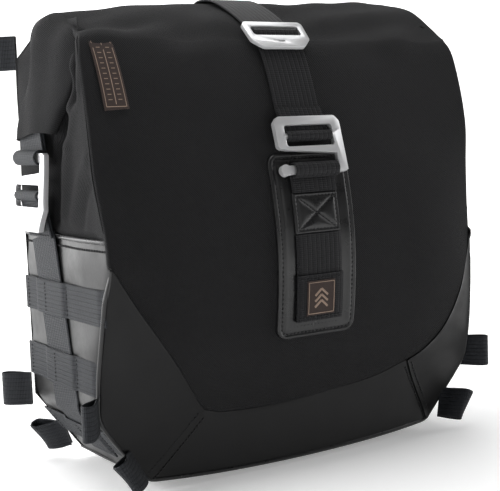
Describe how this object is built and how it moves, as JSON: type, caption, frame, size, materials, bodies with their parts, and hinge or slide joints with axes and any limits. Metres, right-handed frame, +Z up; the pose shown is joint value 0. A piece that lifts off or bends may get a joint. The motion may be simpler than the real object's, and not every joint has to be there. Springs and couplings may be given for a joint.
{
  "type": "motorcycle side bag",
  "caption": "Roll-top motorcycle side bag in canvas and leather, with a front strap and hook, side hooks, webbing rows and lashing tabs.",
  "frame": {"origin": "middle of the flat base, on its underside", "axes": "+X to the bag's right as one faces its front, -Y towards the front, +Z up towards the roll-top mouth"},
  "size_m": [0.374, 0.1729, 0.3413],
  "materials": {
    "canvas": "black woven cotton-look canvas",
    "leather": "black smooth synthetic leather, satin",
    "webbing": "charcoal woven webbing",
    "metal": "satin silver",
    "label": "brown woven label with a tan border",
    "liner": "grey coated fabric",
    "board": "black board",
    "plate": "matte black",
    "rivet": "satin"
  },
  "bodies": {
    "bag": {"back_panel": "canvas", "back_plate": "plate", "back_plate_rivets": "rivet", "back_stiffener": "board", "base_stiffener": "board", "bottom_panel": "leather", "box_stitch_patch": "leather", "emblem_label": "label", "front_bottom_leather": "leather", "front_canvas_panel": "canvas", "front_catch_loop": "webbing", "front_left_leather": "leather", "front_right_leather": "leather", "inner_liner": "liner", "leather_patch": "leather", "left_gusset_canvas": "canvas", "left_gusset_leather": "leather", "left_lower_back_lash_tab": "webbing", "left_lower_front_lash_tab": "webbing", "left_molle_row_1": "webbing", "left_molle_row_2": "webbing", "left_molle_row_3": "webbing", "left_side_strap": "webbing", "left_top_back_lash_tab": "webbing", "left_upper_back_lash_tab": "webbing", "left_upper_front_lash_tab": "webbing", "lower_front_piping": "leather", "patch_webbing": "webbing", "right_gusset_canvas": "canvas", "right_gusset_leather": "leather", "right_lower_back_lash_tab": "webbing", "right_lower_front_lash_tab": "webbing", "right_molle_row_1": "webbing", "right_molle_row_2": "webbing", "right_molle_row_3": "webbing", "right_side_strap": "webbing", "right_top_back_lash_tab": "webbing", "right_upper_back_lash_tab": "webbing", "right_upper_front_lash_tab": "webbing", "strap_rear_anchor": "webbing", "woven_label": "label"},
    "roll_top": {"roll_top_canvas": "canvas", "roll_stiffener": "board", "strap_over_roll": "webbing"},
    "front_strap": {"front_strap": "webbing"},
    "front_hook": {"front_hook": "metal", "front_hook_webbing": "webbing"},
    "front_slider": {"front_slider": "metal", "slider_webbing": "webbing"},
    "left_tail": {"left_tail": "canvas", "left_tail_loop": "webbing"},
    "right_tail": {"right_tail": "canvas", "right_tail_loop": "webbing"},
    "left_hook": {"left_hook": "metal", "left_hook_webbing": "webbing"},
    "right_hook": {"right_hook": "metal", "right_hook_webbing": "webbing"}
  },
  "joints": [
    {"name": "roll_unroll", "type": "hinge", "parent": "bag", "child": "roll_top", "pos_m": [0, 0.06, 0.3185], "axis": [-1, 0, 0], "range_deg": [0, 100]},
    {"name": "front_strap_lift", "type": "hinge", "parent": "roll_top", "child": "front_strap", "pos_m": [0, -0.02464, 0.3219], "axis": [-1, 0, 0], "range_deg": [0, 90]},
    {"name": "front_hook_swing", "type": "hinge", "parent": "front_strap", "child": "front_hook", "pos_m": [0, -0.06684, 0.25757], "axis": [-1, 0, 0], "range_deg": [0, 75], "deforming": ["front_catch_loop"]},
    {"name": "front_slider_slide", "type": "slide", "parent": "front_strap", "child": "front_slider", "axis": [0, -0.6846, -0.7289], "range_m": [0, 0.014]},
    {"name": "left_tail_fold", "type": "hinge", "parent": "roll_top", "child": "left_tail", "pos_m": [-0.1656, 0.012, 0.3255], "axis": [0, 1, 0], "range_deg": [0, 90], "deforming": ["left_tail_loop"]},
    {"name": "left_hook_flip", "type": "hinge", "parent": "bag", "child": "left_hook", "pos_m": [-0.17, 0.02, 0.1722], "axis": [0, -1, 0], "range_deg": [0, 120]},
    {"name": "right_tail_fold", "type": "hinge", "parent": "roll_top", "child": "right_tail", "pos_m": [0.1656, 0.012, 0.3255], "axis": [0, -1, 0], "range_deg": [0, 90], "deforming": ["right_tail_loop"]},
    {"name": "right_hook_flip", "type": "hinge", "parent": "bag", "child": "right_hook", "pos_m": [0.17, 0.02, 0.1722], "axis": [0, 1, 0], "range_deg": [0, 120]}
  ]
}
